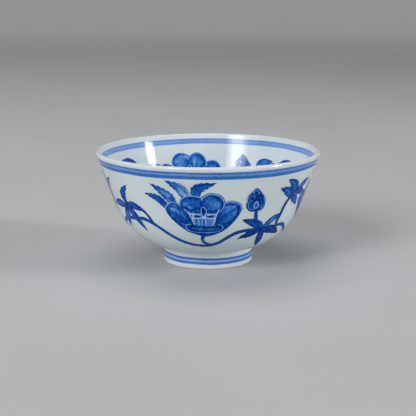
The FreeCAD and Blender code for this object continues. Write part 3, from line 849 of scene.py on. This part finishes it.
def draw_bud(seed):
    """A closed bud: overlapping petals told apart by thin paler lines, round a small pale eye."""
    sheet = Sheet(15.0, 31.5, 36.0, 54.5)
    root = (23.2, 38.0)
    petal(sheet, [(21.7, 51.5), (20.4, 50.0), (18.7, 48.2), (18.2, 46.3), (18.6, 45.0), (18.1, 43.5),
                  (18.4, 41.4), (19.8, 39.7), (22.0, 39.0), (24.4, 39.4), (26.4, 39.3), (27.8, 41.2),
                  (27.9, 44.0), (26.9, 46.5), (25.0, 48.4), (23.3, 50.4)],
          root, 0.76, 0.94, shade=0.12, halo_above=42.5, halo=0.35, seed=seed + 201)
    for points, width, ink in [
            ([(22.0, 40.3), (20.4, 40.3), (19.3, 42.2), (19.3, 44.3), (20.8, 45.4)], 0.5, 0.26),
            ([(18.9, 46.3), (19.6, 47.8), (21.2, 47.5), (22.4, 45.8)], 0.5, 0.30),
            ([(20.5, 49.4), (21.7, 50.7), (22.9, 49.9), (24.0, 48.4)], 0.5, 0.30),
            ([(26.7, 46.2), (27.4, 43.4), (27.1, 41.2), (26.0, 40.2)], 0.55, 0.30),
            ([(25.3, 40.4), (26.1, 42.0), (25.9, 44.2), (24.6, 46.8)], 0.45, 0.38),
            ([(21.9, 49.3), (22.6, 47.6), (23.8, 47.2)], 0.9, 0.92),
            ([(22.4, 46.0), (23.3, 45.3), (24.4, 46.0)], 1.3, 0.97),
            ([(21.2, 46.4), (21.9, 44.8)], 1.0, 0.88),
            ([(20.5, 43.6), (20.6, 41.6)], 0.9, 0.78),
            ([(25.3, 43.6), (25.0, 41.0)], 1.2, 0.90),
            ([(25.8, 45.4), (26.5, 44.2)], 1.0, 0.95),
            ([(24.8, 47.6), (25.9, 46.2)], 0.7, 0.9)]:
        stroke(sheet, points, width, ink, 0.8, seed=seed + 240 + int(10 * width))
    eye = [(23.1, 45.0), (24.3, 43.6), (24.8, 42.0), (24.2, 40.7), (23.3, 40.3), (22.3, 40.7),
           (21.8, 42.2), (22.1, 43.8)]
    fill(sheet, eye, 0.62, seed=seed + 241)
    stroke(sheet, shrunk(eye + eye[:1], (23.25, 42.5), 0.8), 0.6, 0.22, seed=seed + 243)
    return sheet


def draw_star_leaves(seed):
    """Five leaves where the stalk of the bud meets the vine."""
    sheet = draw_leaves((14.0, 50.0, 10.0, 41.0), [
        ([(31.0, 27.9), (25.2, 31.8), (17.2, 34.9)], 4.5, 0, 0.76),
        ([(30.0, 27.0), (24.0, 25.6), (16.4, 22.6)], 4.9, 5, 0.90),
        ([(30.6, 28.2), (32.6, 20.5), (36.4, 12.2)], 4.7, 0, 0.86),
        ([(31.0, 28.0), (38.5, 26.2), (48.2, 21.6)], 5.0, 0, 0.86),
        ([(30.5, 28.4), (35.9, 32.8), (42.6, 35.6)], 3.6, 0, 0.60)], seed + 300)
    stroke(sheet, [(24.0, 40.2), (24.2, 37.0), (25.2, 33.0)], 1.8, 0.86, 1.2)
    return sheet


def draw_sprig(seed):
    """A stalk that rises from the vine to five leaves."""
    sheet = draw_leaves((33.0, 64.0, 26.0, 57.0), [
        ([(45.6, 43.6), (41.6, 47.4), (35.4, 50.0)], 5.1, 4, 0.70),
        ([(45.8, 43.8), (49.6, 42.0), (53.6, 38.0)], 4.0, 0, 0.74),
        ([(47.8, 46.4), (45.2, 50.6), (39.4, 54.2)], 4.5, 0, 0.70),
        ([(48.6, 47.2), (54.4, 49.6), (59.6, 52.0)], 3.6, 0, 0.64),
        ([(48.2, 46.0), (53.6, 45.6), (58.6, 44.4)], 3.6, 0, 0.74)], seed + 400)
    stroke(sheet, [(40.8, 28.0), (40.1, 31.0), (41.1, 35), (42.0, 39), (43.7, 42.4), (45.6, 44.6),
                   (47.0, 46.4), (48.8, 48.0)], 2.0, 0.93)
    stroke(sheet, [(45.2, 43.8), (47.2, 46.2), (49.2, 47.6)], 2.4, 0.93)
    return sheet


def draw_hanging_leaves(seed):
    """Five leaves round the vine's other rise, and the stalk that holds them."""
    sheet = draw_leaves((-63.0, -28.0, 23.0, 53.0), [
        ([(-46.6, 39.5), (-46.6, 45.4), (-41.0, 51.0)], 4.6, 5, 0.70),
        ([(-47.0, 38.6), (-54, 39.0), (-61.0, 37.6)], 4.2, 0, 0.70),
        ([(-47.0, 38.8), (-40, 39.6), (-32.6, 37.4)], 4.6, 7, 0.76),
        ([(-46.6, 38.4), (-41.4, 33.4), (-36.6, 24.9)], 4.3, 0, 0.76),
        ([(-47.0, 38.4), (-49.4, 32.6), (-52.8, 25.4)], 4.3, 0, 0.74)], seed + 500)
    stroke(sheet, [(-34.6, 38.3), (-32, 35.6), (-29.8, 31.8)], 1.6, 0.9)
    stroke(sheet, [(-48.5, 36.0), (-46.8, 38.8), (-45.6, 41.0)], 1.6, 0.97)
    return sheet


def draw_vine_right(seed):
    """The vine under the bud, from one blossom's low point to the next."""
    sheet = Sheet(-8.0, 78.0, 14.0, 33.0)
    stroke(sheet, [VINE_LOW, (1, 18.3), (6, 20.3), (10.5, 23.8), (15, 26.8), (20, 28.0), (26, 27.8),
                   (31, 27.6), (36, 27.7), (41, 27.9), (45, 28.2), (49.2, 26.9), (53.6, 23.8),
                   (59, 20.8), (65, 18.9), (70, 18.1), (VINE_LOW[0] + QUARTER, VINE_LOW[1])],
           2.2, VINE_INK, seed=seed + 601)
    return sheet


def draw_vine_left(seed):
    """The vine under the hanging leaves."""
    sheet = Sheet(-86.0, 0.0, 14.0, 37.0)
    stroke(sheet, [(VINE_LOW[0] - QUARTER, VINE_LOW[1]), (-77, 18.6), (-71, 21.2), (-65, 24.3),
                   (-60, 26.6), (-55, 29.3), (-50, 31.3), (-45, 32), (-41, 32.4), (-36, 33.1),
                   (-31.6, 32.0), (-26.6, 29.1), (-20.6, 24.5), (-14.4, 20.7), (-9, 18.7), VINE_LOW],
           2.1, VINE_INK, seed=seed + 611)
    return sheet


def draw_stalk(seed):
    """The hooked stalk from the calyx down to the vine."""
    sheet = Sheet(-7.0, 7.0, 16.5, 29.0)
    stroke(sheet, [(-1.4, 27), (-3.0, 24.4), (-3.0, 22.2), (-1.6, 20.4), (0.8, 19.3), (3.8, 19.4)],
           2.0, VINE_INK, 0.7, seed=seed + 621)
    return sheet


# how far each layer of brushwork stands off the glaze, in millimetres
LOW_LAYER, MIDDLE_LAYER, TOP_LAYER = 0.05, 0.09, 0.13
BLOSSOM_TURNS = (0.0, 87.0, 180.0, 270.0)
FREE_SWAY = 0.8       # how much the strokes of a repeat differ from the first
INNER_TOP = 55.05     # drawn height of the inner glaze's upper end
INNER_SHIFT = -8.5    # how far round the inner scroll is turned, as drawn


def paint_outside(cobalt):
    """The scroll outside: four blossoms, with buds and sprigs between two pairs and hanging leaves
    between the other two."""
    wall = Wall("belly_glaze", 1)
    for k, turn in enumerate(BLOSSOM_TURNS):
        seed, sway = 1000 * k, FREE_SWAY if k else 0.0
        film(f"blossom_{k + 1}", draw_blossom(False, seed), wall, turn, TOP_LAYER, cobalt,
             sway)
        film(f"blossom_leaves_{k + 1}", draw_spray(k % 2 == 1, seed), wall, turn, MIDDLE_LAYER, cobalt,
             sway)
        film(f"blossom_stalk_{k + 1}", draw_stalk(seed), wall, turn, MIDDLE_LAYER, cobalt)
    for k in range(2):
        turn, seed, sway = 180.0 * k, 2000 * k, FREE_SWAY if k else 0.0
        for name, draw, lift, slot in [
                ("vine_under_bud", draw_vine_right, LOW_LAYER, "cobalt_line"),
                ("vine_under_leaves", draw_vine_left, LOW_LAYER, "cobalt_line"),
                ("bud", draw_bud, TOP_LAYER, "cobalt_wash"),
                ("star_leaves", draw_star_leaves, MIDDLE_LAYER, "cobalt_wash"),
                ("leaf_sprig", draw_sprig, TOP_LAYER, "cobalt_wash"),
                ("hanging_leaves", draw_hanging_leaves, MIDDLE_LAYER, "cobalt_wash")]:
            bend = 0.0 if name.startswith("vine") else sway
            film(f"{name}_{k + 1}", draw(seed), wall, turn, lift, cobalt, bend)


def paint_inside(cobalt):
    """The same scroll inside the bowl, a little lower, with low leaves in place of the tall ones."""
    wall = Wall("interior_glaze", -1, INNER_TOP)
    for k in range(4):
        turn, seed = 90.0 * k, 5000 + 1000 * k
        film(f"inner_blossom_{k + 1}", draw_blossom(True, seed), wall, turn, TOP_LAYER, cobalt,
             across=INNER_SHIFT)
        film(f"inner_blossom_stalk_{k + 1}", draw_stalk(seed), wall, turn, MIDDLE_LAYER, cobalt,
             across=INNER_SHIFT)
    for k in range(2):
        turn, seed = 180.0 * k, 7000 + 2000 * k
        for name, draw, lift, slot, across, up in [
                ("inner_vine_under_bud", draw_vine_right, LOW_LAYER, "cobalt_line", INNER_SHIFT, 0.0),
                ("inner_vine_under_leaves", draw_vine_left, LOW_LAYER, "cobalt_line", INNER_SHIFT, 0.0),
                ("inner_bud", draw_bud, TOP_LAYER, "cobalt_wash", -2.0, -2.5),
                ("inner_low_leaves", draw_inner_leaves, MIDDLE_LAYER, "cobalt_wash", INNER_SHIFT, 0.0),
                ("inner_star_leaves", draw_star_leaves, MIDDLE_LAYER, "cobalt_wash", -2.0, -1.0),
                ("inner_hanging_leaves", draw_hanging_leaves, TOP_LAYER, "cobalt_wash", INNER_SHIFT,
                 -6.0)]:
            film(f"{name}_{k + 1}", draw(seed), wall, turn, lift, cobalt, 0.0, across, up)


FLOOR_GAP = 0.02 * MM
PAPER_TONES = [(0.3, (0.52, 0.53, 0.535)), (0.7, (0.55, 0.555, 0.565))]
GLOW_START, GLOW_FULL, GLOW_STRENGTH = 1.1, 3.8, 0.15    # metres, metres, strength
GLOW_COLOUR, NO_GLOW = (0.97, 0.985, 1.0, 1.0), (0.0, 0.0, 0.0, 1.0)


def make_floor():
    """A round pale floor that sweeps up at its rim and glows faintly far from the bowl."""
    flat, bend, wall, steps, sides = 3.4, 1.4, 1.2, 12, 96
    profile = [(0.35, 0.0), (1.2, 0.0), (flat, 0.0)]
    for k in range(1, steps + 1):
        angle = 0.5 * math.pi * k / steps
        profile.append((flat + bend * math.sin(angle), bend - bend * math.cos(angle)))
    profile.append((flat + bend, bend + wall))
    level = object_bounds()[0][2] - FLOOR_GAP
    points, faces = [(0.0, 0.0, level)], []
    for radius, height in profile:
        for k in range(sides):
            angle = 2.0 * math.pi * k / sides
            points.append((radius * math.cos(angle), radius * math.sin(angle), level + height))
    for k in range(sides):
        faces.append((0, 1 + k, 1 + (k + 1) % sides))
        for row in range(len(profile) - 1):
            a, b = 1 + row * sides + k, 1 + row * sides + (k + 1) % sides
            faces.append((a, a + sides, b + sides, b))
    mesh = bpy.data.meshes.new("studio_floor")
    mesh.from_pydata(points, [], faces)
    mesh.shade_smooth()
    floor = bpy.data.objects.new("studio_floor", mesh)
    bpy.context.scene.collection.objects.link(floor)
    material, graph, shader = new_material("pale_paper_floor")
    where = graph.add("ShaderNodeNewGeometry").outputs["Position"]
    tone = graph.noise(where, PAPER_CLOUDS)
    graph.feed(shader, "Base Color", graph.ramp(tone, PAPER_TONES))
    shader.inputs["Roughness"].default_value = 0.8
    reach = graph.add("ShaderNodeVectorMath", operation="LENGTH")
    graph.feed(reach, 0, where)
    far = graph.spread(reach.outputs["Value"], GLOW_START, GLOW_FULL, smooth=True)
    graph.feed(shader, "Emission Color", graph.mix(far, NO_GLOW, GLOW_COLOUR))
    shader.inputs["Emission Strength"].default_value = GLOW_STRENGTH
    mesh.materials.append(material)


set_camera()
set_light()
dress_nodes()
paint_outside(glazed_material("scroll_cobalt_under_glaze", paint="ink", shine=SCROLL_SHINE))
paint_inside(glazed_material("inner_scroll_cobalt_under_glaze", paint="ink", white=INNER_WHITE,
                             shine=INNER_SHINE, strength=INNER_STRENGTH))
make_floor()
